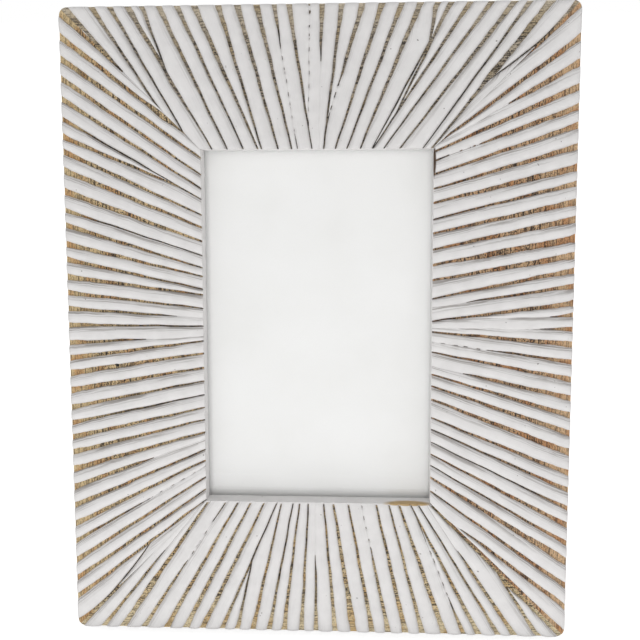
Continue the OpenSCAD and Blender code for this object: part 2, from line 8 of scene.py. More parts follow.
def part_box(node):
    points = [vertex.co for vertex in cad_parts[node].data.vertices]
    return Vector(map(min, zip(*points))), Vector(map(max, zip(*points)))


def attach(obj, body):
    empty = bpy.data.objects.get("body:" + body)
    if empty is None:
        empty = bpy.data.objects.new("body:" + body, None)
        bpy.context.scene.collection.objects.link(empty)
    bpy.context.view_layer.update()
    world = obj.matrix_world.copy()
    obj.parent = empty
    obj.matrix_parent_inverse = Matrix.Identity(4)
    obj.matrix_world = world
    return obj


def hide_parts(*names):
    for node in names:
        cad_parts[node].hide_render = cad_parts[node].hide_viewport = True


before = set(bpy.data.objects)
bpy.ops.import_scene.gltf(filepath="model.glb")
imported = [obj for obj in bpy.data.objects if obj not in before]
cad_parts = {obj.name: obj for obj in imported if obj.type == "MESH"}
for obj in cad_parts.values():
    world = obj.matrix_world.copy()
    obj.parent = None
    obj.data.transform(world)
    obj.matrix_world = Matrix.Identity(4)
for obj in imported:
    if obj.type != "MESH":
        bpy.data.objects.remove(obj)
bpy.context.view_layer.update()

# Sizes of the frame, in millimetres

MM = 0.001
FRAME_W = 203.0
FRAME_H = 254.0
MEMBER_W = 55.5
HALF_W = FRAME_W / 2
HALF_H = FRAME_H / 2
CORNER_R = 3.0
FRAME_T = 17.0
LEAN = math.radians(15)
# Width of the rebate, its wall's distance from the outer edge, and its floor above the back
REBATE_W = 6.0
REBATE_WALL = MEMBER_W - REBATE_W
REBATE_H = 7.6
BACK_ARRIS = 0.5
# How far below the front's outer edge the wall has a row of points
EDGE_ROW = 0.25
# Middle of the hinge pin on the upright frame
HINGE_PIN = (0.0, 2.3, 174.0)

# The pane: its thickness, its play in the rebate at each side, its arris and corner rounding,
# and how far its skin stays inside its solid
GLASS_T = 2.0
GLASS_PLAY = 0.75
GLASS_ARRIS = 0.3
GLASS_ROUND = 0.8
GLASS_SHY = 0.04
ROUND_POINTS = 7

# Carving: ribs between grooves, cut from the outer edge towards the sight edge

# Height of a rib and width of a groove, each at the outer edge and at the sight edge; length of
# a rib's rounded end and the share of its height that is lost there; width of the lip at the
# sight edge, and the gap to a mitre's line
RIB_H = 2.4
RIB_INNER_H = 1.9
RIB_BASE = FRAME_T - RIB_H
GROOVE_OUTER_W = 1.7
GROOVE_INNER_W = 0.52
END_ROUND = 2.2
END_DROP = 0.6
LIP_W = 1.3
MITRE_GAP = 0.02
# Down to this depth the grooves keep this far from the mitre
CORNER_DEPTH = 1.0
CORNER_CLEAR = 0.2

# Unevenness of the cuts: how far a groove sways, and by which shares its width varies over a long
# and a short wave. Towards its mouth a groove's own width evens out over MOUTH_LENGTH.
SWAY = 0.15
SWAY_WAVE = 26
LONG_SWING = 0.14
LONG_WAVE = 9
SHORT_SWING = 0.09
SHORT_WAVE = 2.7
MOUTH_EVEN = 0.45
MOUTH_LENGTH = 14
FLARE_LENGTH = 4.0

# Wash in a groove: the share of its width that it closes, how much of that a dot leaves open,
# the waves of the dots, and the least half width of a floor
WASH_CLOSES = 0.85
DOT_SHARE = 0.28
DOT_WAVE = 4.6
LEAST_HALF = 0.05

# Ribs: share of the full height that a usual one has, the power of the superellipse across it,
# and how far the wash fills the flanks beside a groove that it closes
CROWN_SHARE = 0.92
FULLNESS = 2.6
WASH_FILL = 0.8

# Points across a groove's floor and across a rib, and rows along them: how many there are at the
# rounded end, along the rib and at the lip, and which shares of the length the two ends take
FLOOR_POINTS = 5
RIB_POINTS = 13
END_ROWS = 10
LONG_ROWS = 78
LIP_ROWS = 6
END_SHARE = 0.07
LIP_SHARE = 0.035

# Depths tried for the one where a column meets its mitre, of which the first don't count, and
# rounds for the place where it starts on the outer edge
MITRE_TRIES = 400
TRIES_LEFT_OUT = 20
EDGE_ROUNDS = 24

# A place past every member's end
FAR = 1000.0
# How far apart, in mm, the members' pieces of grain are taken, times their seeds
GRAIN_SHIFT = 100
# Angles, in degrees, over which an edge stays sharp
WOOD_SHARP = 42
GLASS_SHARP = 30

# Depths from the outer edge, in mm, at which a groove's two places are read off the photo
FOOT_D = 2.0
END_D = 53.0

# One entry a member. Half: half the member's length. Turn: the angle it is turned by from the
# bottom rail's place at 0. Seed: sets its unevenness. Flare: how much wider a groove is at its
# mouth. Lip: how far the wash fills the grooves at the sight edge. Wood: tints of the bare wood
# at the outer edge, further in, in patches and along the grain's lines.
# Grooves: place along the member near the outer edge, place near the sight edge, both in mm from
# its middle, and width as a share of the usual one. Scale and move: what the two places are
# multiplied by and moved by, because the view's distance was settled after they were read.
# Joins: the groove that runs into another, the other and the depth in mm. Faded: a groove that
# the wash closes, from and to which depth, and 1 where it leaves a row of dots open. Wide: a
# groove, the depth of a wide spot in it, how much wider it is there and over which length.
# Spots: place along the member and depth of a chip or hole, its half sizes and its colour.
MEMBERS = {
    "top_rail": dict(
        half=HALF_W, turn=180, seed=3, flare=0.8, lip=0.25, scale=0.995, move=(-0.1, 0.0),
        wood=("#C0B49F", "#AB9F8D", "#A9946C", "#342B24"),
        grooves=(
            (-99.0, -46.9, 0.55), (-88.8, -47.7, 1.9), (-81.0, -43.8, 0.6), (-75.0, -34.8, 1.1),
            (-66.2, -28.3, 0.8), (-58.3, -23.9, 0.8), (-51.0, -23.3, 0.7), (-46.2, -22.9, 0.6),
            (-39.6, -18.2, 1.05), (-32.5, -12.9, 0.85), (-25.0, -8.3, 0.9), (-17.5, -3.6, 0.9),
            (-9.6, -3.0, 0.75), (-2.1, -1.0, 0.7), (2.6, 1.8, 0.3), (10.5, 2.2, 0.8),
            (16.3, 8.0, 0.4), (23.0, 10.4, 0.95), (30.5, 16.0, 1.05), (38.0, 22.6, 0.9),
            (47.2, 24.3, 1.15), (54.0, 30.2, 0.8), (61.3, 36.8, 0.95), (68.0, 42.7, 0.5),
            (73.4, 43.0, 1.2), (80.5, 50.7, 0.65), (87.6, 53.8, 0.8), (98.4, 50.2, 0.9)),
        joins=((0, 1, 30), (6, 5, 42), (7, 6, 14.5), (11, 12, 46), (14, 15, 47), (23, 24, 25)),
        faded=((11, 31, 42, 1), (13, 22, 60, 0), (14, 1, 45, 1), (16, 17, 50, 1), (27, 25, 60, 0)),
        wide=((1, 27, 0.9, 5), (24, 31, 1.1, 6), (27, 2, 1.3, 5)),
        spots=()),
    "bottom_rail": dict(
        half=HALF_W, turn=0, seed=5, flare=0.7, lip=0.6, scale=1.006, move=(-0.7, -0.5),
        wood=("#DDCDA9", "#D4BF97", "#C29A58", "#3C2F20"),
        grooves=(
            (-97.3, -49.0, 0.8), (-87.9, -47.8, 0.8), (-80.0, -45.8, 1.5), (-71.2, -38.4, 0.8),
            (-61.7, -33.2, 1.1), (-53.8, -27.8, 1.15), (-46.7, -22.1, 1.15), (-38.5, -16.9, 0.65),
            (-32.3, -16.5, 0.5), (-26.0, -14.6, 0.8), (-19.2, -9.8, 0.65), (-13.2, -7.1, 0.8),
            (-6.0, -3.3, 0.75), (0.0, -0.4, 0.6), (7.8, 3.2, 0.8), (15.3, 7.3, 1.3),
            (23.0, 13.4, 0.95), (29.5, 18.8, 0.8), (36.5, 24.8, 1.1), (43.4, 30.1, 0.85),
            (52.2, 34.3, 1.3), (59.9, 38.6, 0.5), (65.9, 39.2, 1.0), (73.8, 42.7, 0.7),
            (80.1, 46.3, 1.0), (89.5, 47.0, 0.8), (98.7, 48.2, 1.7)),
        joins=((8, 7, 30), (21, 22, 50), (25, 26, 27)),
        faded=((0, 26, 60, 0), (1, 34, 60, 0), (3, 30, 47, 1), (13, 33, 60, 0), (17, 37, 60, 1),
               (21, 16, 42, 1), (24, 36, 60, 0)),
        wide=((2, 18, 0.9, 4), (26, 21, 1.3, 4), (26, 52, 0.8, 3), (15, 8, 0.7, 4)),
        spots=((37.0, 55.4, 9.0, 0.7, "#B59A6E"),)),
    "left_stile": dict(
        half=HALF_H, turn=90, seed=8, flare=0.8, lip=0.3, scale=0.994, move=(-0.95, -0.75),
        wood=("#D2BB90", "#DAC094", "#C08A50", "#38291C"),
        grooves=(
            (-123.2, -75.2, 0.9), (-114.2, -74.7, 1.4), (-105.7, -69.6, 1.3), (-98.0, -62.8, 1.1),
            (-90.0, -57.3, 1.0), (-82.3, -52.9, 0.45), (-75.5, -52.4, 0.9), (-69.7, -46.3, 1.0),
            (-62.3, -41.3, 1.3), (-54.0, -35.5, 1.4), (-46.5, -29.8, 0.4), (-40.5, -24.7, 0.9),
            (-33.0, -21.1, 1.0), (-26.8, -15.9, 0.8), (-19.9, -13.4, 1.0), (-13.4, -7.8, 0.8),
            (-7.0, -3.8, 0.7), (-0.3, -0.3, 0.65), (7.0, 4.0, 0.7), (13.2, 6.1, 1.0),
            (19.4, 11.2, 1.25), (26.5, 17.2, 1.2), (33.6, 22.8, 0.8), (40.1, 28.6, 0.6),
            (46.3, 34.0, 1.0), (52.6, 39.1, 1.0), (59.7, 44.4, 1.2), (67.2, 47.3, 1.1),
            (75.1, 52.2, 0.9), (83.0, 56.8, 1.1), (90.3, 59.5, 0.6), (98.4, 64.3, 1.0),
            (106.3, 69.7, 1.0), (114.3, 74.4, 1.0), (125.4, 74.9, 0.5)),
        joins=((6, 5, 46), (34, 33, 32)),
        faded=((0, 25, 60, 0), (16, 45, 60, 0), (18, 32, 60, 0), (27, 34, 60, 0), (30, 31, 60, 1)),
        wide=((0, 2, 0.8, 5), (1, 40, 1.6, 4), (33, 33, 0.8, 3), (33, 45, 1.2, 3)),
        spots=((15.2, 19.5, 0.7, 0.7, "#17110D"),)),
    "right_stile": dict(
        half=HALF_H, turn=270, seed=11, flare=0.8, lip=0.3, scale=1.0, move=(0.0, 0.2),
        wood=("#D0B08A", "#C9A781", "#B4743C", "#37241A"),
        grooves=(
            (-123.7, -73.8, 1.1), (-112.6, -73.0, 1.2), (-104.0, -68.2, 1.0), (-93.8, -62.2, 1.6),
            (-86.3, -57.2, 0.7), (-78.8, -52.3, 1.0), (-71.8, -47.2, 0.4), (-64.2, -41.8, 0.7),
            (-57.3, -37.0, 0.9), (-48.8, -29.4, 1.5), (-40.9, -23.8, 1.2), (-33.8, -19.0, 1.0),
            (-26.9, -15.4, 1.0), (-19.4, -9.7, 0.9), (-12.4, -5.4, 0.6), (-5.5, -1.3, 1.1),
            (0.5, 0.6, 0.4), (5.9, 2.9, 0.4), (10.5, 3.5, 1.0), (17.3, 9.2, 0.7),
            (23.4, 12.8, 1.0), (29.3, 20.0, 1.4), (35.9, 26.1, 1.6), (43.4, 32.3, 1.4),
            (50.1, 38.7, 1.3), (57.2, 44.3, 0.8), (63.4, 50.7, 1.5), (71.3, 56.2, 1.1),
            (79.3, 62.0, 1.1), (86.3, 67.3, 1.2), (93.8, 71.0, 1.4), (102.6, 73.2, 1.4),
            (111.8, 74.0, 1.3), (123.9, 75.3, 1.0)),
        joins=((1, 0, 50), (17, 18, 50)),
        faded=((1, 43, 60, 0), (12, 43, 60, 0), (14, 32, 60, 1), (16, 13, 60, 0), (17, 9, 46, 0),
               (19, 42, 60, 0), (29, 38, 50, 1), (31, 27, 60, 0), (33, 24, 60, 0)),
        wide=((3, 6, 1.0, 4), (22, 30, 0.6, 9)),
        spots=((66.3, 55.6, 6.0, 0.9, "#4B3A2C"),)),
}


def standing(points):
    """Takes points of the upright frame, in mm, to the leaning frame on its table, in metres.

    The frame is turned back by its lean and then moved so that the hinge pin lies where the
    loaded frame has it."""
    low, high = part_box("hinge_pin")
    pin_upright = np.array(HINGE_PIN)
    spin = np.array([[1, 0, 0],
                     [0, math.cos(LEAN), math.sin(LEAN)],
                     [0, -math.sin(LEAN), math.cos(LEAN)]])
    pin_now = np.array((low + high) / 2)
    return np.asarray(points) @ spin.T * MM + pin_now - spin @ pin_upright * MM


def on_member(u, d, h, member):
    """Takes u along a member, d in from its edge and h up from its back to the upright frame."""
    turn = math.radians(member["turn"])
    reach = HALF_H if member["half"] == HALF_W else HALF_W
    inward = d - reach
    x = u * math.cos(turn) + inward * math.sin(turn)
    z = HALF_H - u * math.sin(turn) + inward * math.cos(turn)
    return np.stack([x, -h, z], axis=-1)


def mix(a, b, t):
    """The value a share t of the way from a to b."""
    return a + (b - a) * t


def smooth(low, high, x):
    """Rises smoothly from 0 at low to 1 at high."""
    t = np.clip((x - low) / (high - low), 0, 1)
    return t * t * (3 - 2 * t)


def wander(i, seed):
    """A number from -1 to 1 that seems random but is always the same for i and seed: the sine of
    an angle that grows by large, uneven steps of degrees."""
    return np.sin(np.radians(i * i * 47 + i * 83 + seed * 131))


def ripple(x, wave, i, seed):
    """A slow unevenness along x: three sine waves about wave long, with phases set by i."""
    total = 0
    for share, size in ((1.0, 0.5), (0.61, 0.3), (0.37, 0.2)):
        phase = 6 * wander(i * 3 + size * 10, seed + 1)
        total = total + size * np.sin(2 * math.pi * x / (wave * share) + phase)
    return total


def end_curve(d):
    """Quarter circle that falls from 1 at the outer edge to 0 past the end rounding."""
    q = np.clip(1 - d / END_ROUND, 0, 1)
    return 1 - np.sqrt(1 - q * q)


def groove_at(i, d, member):
    """Middle of groove i at depth d: a line from its foot to its end, with a slow sway. One that
    joins another closes up to it in proportion to the depth, until they meet."""
    foot, end, _ = np.array(member["grooves"]).T * member["scale"]
    foot, end = foot + member["move"][0], end + member["move"][1]
    partner, meeting = np.arange(len(foot)), np.full(len(foot), FAR)
    for groove, other, depth in member["joins"]:
        partner[groove], meeting[groove] = other, depth
    s = (d - FOOT_D) / (END_D - FOOT_D)
    j = partner[i]
    # The first and the last groove keep to their mitre before they turn off to another
    bend = np.where((i == 0) | (i == len(foot) - 1), 2, 1)
    apart = 1 - np.clip((d - FOOT_D) / (meeting[i] - FOOT_D), 0, 1) ** bend
    return (mix(foot[j], end[j], s) + (foot[i] - foot[j]) * apart
            + SWAY * ripple(d, SWAY_WAVE, j, member["seed"]))


def closing(i, d, member):
    """How far the wash closes groove i at depth d, from 0, open, to 1, closed: it comes and goes
    smoothly at the ends of the faded stretch, and the crests of a ripple leave dots open."""
    count = len(member["grooves"])
    first, last, dotted = np.full(count, FAR), np.full(count, FAR), np.zeros(count)
    for groove, low, high, dots in member["faded"]:
        first[groove], last[groove], dotted[groove] = low, high, dots
    gap = smooth(0.0, 0.3, ripple(d, DOT_WAVE, i + 17, member["seed"]))
    stretch = smooth(first[i] - 11, first[i] + 4, d) * (1 - smooth(last[i] - 3, last[i] + 6, d))
    return stretch * (1 - DOT_SHARE * dotted[i] * gap)


def groove_half(i, d, member):
    """Half the width of a groove's floor at depth d: it narrows inward and flares at the edge."""
    seed = member["seed"]
    share = np.array(member["grooves"])[:, 2]
    width = mix(GROOVE_OUTER_W, GROOVE_INNER_W, d / MEMBER_W)
    own = mix(mix(share[i], 1, MOUTH_EVEN), share[i], smooth(0, MOUTH_LENGTH, d))
    own = own * (1 + LONG_SWING * ripple(d, LONG_WAVE, i, seed)
                 + SHORT_SWING * ripple(d, SHORT_WAVE, i + 40, seed))
    width = width * own + member["flare"] * np.exp(-d / FLARE_LENGTH)
    for groove, depth, extra, length in member["wide"]:
        width = width + np.where(i == groove, extra * np.exp(-((d - depth) / length) ** 2), 0)
    return np.maximum(width / 2 * (1 - WASH_CLOSES * closing(i, d, member)), LEAST_HALF)


def column_places(k, d, member):
    """Place along the member, share across its rib or floor, kind, and rib width of column k.

    After half a rib beside the low mitre come units of a groove's floor, edge to edge, and the
    rib that follows it; the last rib again ends half way, on the high mitre. Where two grooves
    overlap, their floors meet half way and the rib between them has no width."""
    unit = FLOOR_POINTS + RIB_POINTS
    last = len(member["grooves"]) - 1
    g = (k - RIB_POINTS) // unit
    m = (k - RIB_POINTS) % unit
    on_floor = m < FLOOR_POINTS
    mitre = member["half"] - d - MITRE_GAP

    def edges(i):
        i = np.clip(i, 0, last)
        middle, half = groove_at(i, d, member), groove_half(i, d, member)
        # A groove beside the mitre stops just short of it, unless its middle has crossed it
        low = np.maximum(middle - half, np.minimum(middle, MITRE_GAP - mitre))
        return low, np.minimum(middle + half, np.maximum(middle, mitre - MITRE_GAP))

    before, here, after = edges(g - 1), edges(g), edges(g + 1)
    low_meet = np.where(g > 0, (before[1] + here[0]) / 2, -FAR)
    high_meet = np.where(g < last, (here[1] + after[0]) / 2, FAR)
    floor_low = np.minimum(np.maximum(here[0], low_meet), high_meet)
    floor_high = np.maximum(np.minimum(here[1], high_meet), low_meet)
    rib_high = np.maximum(after[0], high_meet)
    floor_share = m / (FLOOR_POINTS - 1)
    rib_share = 0.5 - 0.5 * np.cos(math.pi * (m - FLOOR_POINTS + 1) / (RIB_POINTS + 1))
    rib_width = rib_high - floor_high

    # The half ribs reach from the mitre, where they stand full, to the first or last groove
    first_half, last_half = g < 0, (g == last) & ~on_floor
    last_share = (m - FLOOR_POINTS + 1) / RIB_POINTS
    first_share = last_share - 1 / RIB_POINTS
    half_low, half_high = np.minimum(here[0], mitre), np.maximum(here[1], -mitre)
    place = np.where(on_floor, mix(floor_low, floor_high, floor_share),
                     mix(floor_high, rib_high, rib_share))
    place = np.where(first_half, mix(-mitre, half_low, first_share), place)
    place = np.where(last_half, mix(half_high, mitre, last_share), place)
    across = np.where(on_floor, floor_share, rib_share)
    across = np.where(first_half, 0.5 + 0.5 * first_share, across)
    across = np.where(last_half, 0.5 * last_share, across)
    rib_width = np.where(first_half, 2 * (half_low + mitre), rib_width)
    rib_width = np.where(last_half, 2 * (mitre - half_high), rib_width)

    # At the very corner everything but the half ribs keeps clear of the mitre
    bound = member["half"] - d - CORNER_CLEAR
    near_corner = (d < CORNER_DEPTH) & ~first_half & ~last_half
    place = np.where(near_corner, np.clip(place, -bound, bound), place)
    return place, across, on_floor, rib_width


def column_ends(k, member):
    """Depths at which each column starts, on the outer edge, and ends, on a mitre or the sight
    edge.

    A column ends where its place first comes within the gap of the mitre's line. It starts at
    0, or on the arc of a circle round the corner, which rounds of half steps come to."""
    half = member["half"]
    probe = np.linspace(0, MEMBER_W, MITRE_TRIES)[None, :]
    over = np.abs(column_places(k, probe, member)[0]) - (half - probe - MITRE_GAP)
    over[:, :TRIES_LEFT_OUT] = np.minimum(over[:, :TRIES_LEFT_OUT], -0.01)
    first = np.maximum(np.argmax(over >= 0, axis=1), 1)
    rows = np.arange(len(k))
    before, after = over[rows, first - 1], over[rows, first]
    crossing = probe[0, first] - probe[0, 1] * after / np.maximum(after - before, 1e-9)
    end = np.where(over.max(axis=1) >= 0, crossing, MEMBER_W)

    # The half ribs end where the groove beside them does
    end[:RIB_POINTS] = end[RIB_POINTS]
    end[-RIB_POINTS:] = end[-RIB_POINTS - 1]

    start = np.full((len(k), 1), 0.5)
    for _ in range(EDGE_ROUNDS):
        q = np.clip(np.abs(column_places(k, start, member)[0]) - (half - CORNER_R), 0, CORNER_R)
        start = (start + CORNER_R - np.sqrt(CORNER_R ** 2 - q ** 2)) / 2
    return start, end[:, None]


def crown_height(rib, d, from_edge, rib_w, half_rib, seed):
    """Height of each rib's crown: it falls inward in a line and by a quarter circle at the
    rounded end, times a share and slow waves of its own. A thin rib is lower, and the half ribs
    rise away from the corner."""
    crown = mix(RIB_H, RIB_INNER_H, d / MEMBER_W) * (1 - END_DROP * end_curve(from_edge))
    crown = crown * (CROWN_SHARE + 0.02 * ripple(d, 17, rib + 3, seed)
                     + 0.04 * wander(rib + 5, seed))
    return crown * np.where(half_rib, smooth(0.8, 2.6, rib_w) * smooth(4, 15, d),
                            smooth(-0.2, 1.6, rib_w))


def carved_height(rib, d, across, on_floor, half_rib, crown, lip, member):
    """Height of the carving above its floors, and how far the wash closes each point's groove.

    Across a rib it is the crown times a superellipse, full and round, that hardly dips beside
    a groove that the wash closes. A floor lies near zero and rises where the wash closes it. At
    the sight edge both run into the lip."""
    seed, last = member["seed"], len(member["grooves"]) - 1
    shut = closing(np.clip(rib, 0, None), d, member)
    shut_next = closing(np.clip(rib + 1, 0, last), d, member)
    fullness = FULLNESS + 0.4 * wander(rib + 21, seed)
    section = np.sqrt(np.clip(1 - np.abs(2 * across - 1) ** fullness, 0, 1))
    filled = WASH_FILL * (shut ** 2 * (1 - smooth(0, 0.6, across))
                          + shut_next ** 2 * smooth(0.4, 1, across))
    section = section + (1 - section) * np.where(half_rib, 0, filled)
    floor_h = WASH_FILL * shut ** 2 * crown + 0.08 * ripple(d, 5, rib, seed) * (across - 0.3)
    relief = np.where(on_floor, floor_h, crown * section)
    lip_h = RIB_INNER_H * np.where(on_floor, member["lip"], mix(member["lip"], 0.82, section))
    return mix(relief, lip_h, lip), shut


def flank_up(place, d, across, turn):
    """How far a flank faces up: the share of its sideways lean that points up the frame, from
    the direction in which its column runs, times where across the rib it lies."""
    run = np.gradient(place, axis=1) / np.maximum(np.gradient(d, axis=1), 1e-6)
    upward = -(run * math.cos(turn) + math.sin(turn)) / np.sqrt(1 + run * run)
    return upward * (2 * across - 1)


def shade_and_dirt_share(rib, d, floor_w, member):
    """How far a groove's bare wood is darkened: painted shade, as in a deep crease, where it is
    narrow and in those cut narrow all along, and dirt in patches that two ripples set."""
    seed = member["seed"]
    cut_w = np.array(member["grooves"])[:, 2][np.clip(rib, 0, None)]
    stain = 0.5 + 0.5 * ripple(d, 19, rib + 60, seed) + 0.3 * ripple(d, 4, rib + 80, seed)
    inward = 0.8 * (1 - smooth(0.4, 0.85, cut_w)) + 0.5 * smooth(0.45, 1.0, stain)
    return np.clip(1 - smooth(0.2, 0.9, floor_w) + inward * smooth(4, 16, d), 0, 1)


def member_grid(member):
    """Points of a member's front, with what the finish needs to know of each.

    The front is a net of columns from the outer edge to the sight edge or the mitre. Its rows
    are close at the rounded end, even along the rib and close again at the lip. Known of a
    point are its height as a share of the crown, how far wash has covered a floor, how narrow
    its groove is and so how far painted shade and dirt darken it, how far its flank faces up,
    which places painted shade in the hairlines there, its rib's number, and how far it lies
    across that rib or groove, in mm."""
    unit, last = FLOOR_POINTS + RIB_POINTS, len(member["grooves"]) - 1
    k = np.arange(RIB_POINTS + unit * (last + 1))[:, None]
    start, end = column_ends(k, member)
    share = np.concatenate([
        np.linspace(0, 1, END_ROWS, endpoint=False) ** 1.5 * END_SHARE,
        np.linspace(END_SHARE, 1 - LIP_SHARE, LONG_ROWS, endpoint=False),
        1 - np.linspace(1, 0, LIP_ROWS) ** 1.3 * LIP_SHARE])[None, :]
    d = start + (end - start) * share
    place, across, on_floor, rib_w = column_places(k, d, member)
    bound = member["half"] - d - MITRE_GAP * 0.5
    u = np.clip(place, -bound, bound)

    rib = (k - RIB_POINTS) // unit
    half_rib = (rib < 0) | ((rib == last) & ~on_floor)
    to_sight = np.where(end < MEMBER_W, MEMBER_W, MEMBER_W - d)
    lip = np.exp(-(to_sight / (0.55 * LIP_W)) ** 2)
    crown = crown_height(rib, d, d - start, rib_w, half_rib, member["seed"])
    relief, shut = carved_height(rib, d, across, on_floor, half_rib, crown, lip, member)

    floor_w = 2 * groove_half(np.clip(rib, 0, None), d, member)
    flank = flank_up(place, d, across, math.radians(member["turn"]))
    known = {
        "height": np.where(on_floor, 0.08, 1.0) * relief / np.maximum(crown, 0.4),
        "covered": np.maximum(smooth(0.8, 0.97, np.where(on_floor, shut, 0)),
                              lip * (member["lip"] > 0.5)),
        # Painted shade and dirt: darkens the bare wood of narrow grooves
        "narrow": np.where(on_floor, 1.0, 0.5) * shade_and_dirt_share(rib, d, floor_w, member),
        # Sets where the hairlines' painted shade goes: on flanks that face up
        "flank": np.where(on_floor, 0, flank),
        "lane": rib + 0 * d,
        "beside": across * np.where(on_floor, floor_w, rib_w),
    }
    return u, d, RIB_BASE + relief, known


def net_faces(loops, around):
    """Four-sided faces between closed loops that follow each other, with around points each."""
    a = np.arange(loops - 1)[:, None] * around + np.arange(around)[None, :]
    b = np.arange(loops - 1)[:, None] * around + (np.arange(around)[None, :] + 1) % around
    return np.stack([a, a + around, b + around, b], axis=-1).reshape(-1, 4).tolist()


def new_piece(name, points, faces, sharp, merged, **known):
    """Object with a closed mesh of these points, in metres, and faces, turned outward.

    Doubled points are merged where merged is true. What is known of each point becomes an
    attribute, and edges over sharp degrees stay sharp."""
    mesh = bpy.data.meshes.new(name)
    mesh.from_pydata(points.tolist(), [], faces)
    for key, value in known.items():
        flat = value.reshape(len(points), -1).astype(np.float32)
        if flat.shape[1] == 1:
            mesh.attributes.new(key, "FLOAT", "POINT").data.foreach_set("value", flat.ravel())
        else:
            mesh.attributes.new(key, "FLOAT_VECTOR", "POINT").data.foreach_set(
                "vector", flat.ravel())
    skin = bmesh.new()
    skin.from_mesh(mesh)
    if merged:
        bmesh.ops.remove_doubles(skin, verts=skin.verts, dist=1e-6)
    if skin.calc_volume(signed=True) < 0:
        bmesh.ops.reverse_faces(skin, faces=skin.faces)
    skin.to_mesh(mesh)
    skin.free()
    mesh.shade_smooth()
    mesh.set_sharp_from_angle(angle=math.radians(sharp))
    piece = bpy.data.objects.new(name, mesh)
    bpy.context.scene.collection.objects.link(piece)
    return piece


def member_skin(name, member):
    """Mesh of one member: the front net, closed behind by wall, rebate and back.

    Every column is a loop: up the outer wall, over the front, down the sight edge or the mitre,
    round the rebate, which widens like the members do, and along the back. The first and the
    last loop lie on the mitres and are filled in."""
    u, d, h, known = member_grid(member)
    half = member["half"]

    # The loop behind: sight edge or mitre, rebate floor, rebate wall, back, outer wall
    end_u, end_d, end_h = u[:, -1:], d[:, -1:], h[:, -1:]
    in_rebate = end_d > REBATE_WALL
    rebate_u = end_u * (half - REBATE_WALL) / (half - end_d)
    back_u = np.where(in_rebate, rebate_u, end_u)
    back_d = np.where(in_rebate, REBATE_WALL, end_d)
    edge_u, edge_d, edge_h = u[:, :1], d[:, :1], h[:, :1]
    wall = [(end_u, end_d, mix(end_h, REBATE_H, t)) for t in (0.12, 0.5, 1.0)]
    behind = wall + [
        (back_u, back_d, REBATE_H + 0 * end_d), (back_u, back_d, 0 * end_d),
        (edge_u, edge_d + BACK_ARRIS, 0 * end_d), (edge_u, edge_d, BACK_ARRIS + 0 * end_d),
        (edge_u, edge_d, mix(BACK_ARRIS, edge_h, 0.5)), (edge_u, edge_d, edge_h - EDGE_ROW)]
    u = np.hstack([u] + [b[0] for b in behind])
    d = np.hstack([d] + [b[1] for b in behind])
    h = np.hstack([h] + [b[2] for b in behind])
    columns, loop = u.shape

    # Wash runs over the walls; the rebate and the back are bare
    wash = np.array([1, 1, 1, -1, -1, -1, 0.6, 0.8, 0.7]) + np.zeros((columns, 1))
    known = {key: np.hstack([a, wash if key == "height" else np.zeros_like(wash)])
             for key, a in known.items()}
    known["lane"] = known["lane"][:, :1] + 0 * d

    points = standing(on_member(u, d, h, member).reshape(-1, 3))
    caps = [list(range(loop)), list(range(columns * loop - 1, (columns - 1) * loop - 1, -1))]
    lane = np.stack([d, known.pop("beside"), known.pop("lane")], axis=-1)
    grain = np.stack([u, d, h], axis=-1) + GRAIN_SHIFT * member["seed"]
    return new_piece(name, points, net_faces(columns, loop) + caps, WOOD_SHARP, False,
                     lane=lane, grain=grain, **known)


# Materials

# Height of the middle of a chipped spot, half its own height, and how deep the tooth of wood and
# of board goes, in mm
SPOT_H = RIB_BASE + 1
SPOT_HALF_H = 4.0
WOOD_TOOTH = 0.1
BOARD_TOOTH = 0.08
# Blotches on board and dull patches on plate are this wide, in mm
BOARD_CLOUD = 25
PLATE_DULL = 4
# Rolling marks in a millimetre, across the marks and along them
MARKS_ACROSS = 4
MARKS_ALONG = 0.3
GLASS_IOR = 1.5
WOOD_ROUGH = 0.62
WASH_ROUGH = 0.82


def colour(code):
    """Linear colour with alpha from an sRGB hex code."""
    parts = [int(code[i:i + 2], 16) / 255 for i in (1, 3, 5)]
    return [c / 12.92 if c <= 0.04045 else ((c + 0.055) / 1.055) ** 2.4 for c in parts] + [1]


def add(tree, kind, inputs=None, **settings):
    """Adds a node with its settings, and with values or sockets on its inputs."""
    node = tree.nodes.new("ShaderNode" + kind)
    for key, value in settings.items():
        setattr(node, key, value)
    for key, value in (inputs or {}).items():
        if isinstance(value, bpy.types.NodeSocket):
            tree.links.new(value, node.inputs[key])
        else:
            node.inputs[key].default_value = value
    return node


def new_material(name):
    """A material with an empty node tree and its output node."""
    material = bpy.data.materials.new(name)
    material.use_nodes = True
    material.node_tree.nodes.clear()
    tree = material.node_tree
    return material, tree, add(tree, "OutputMaterial")


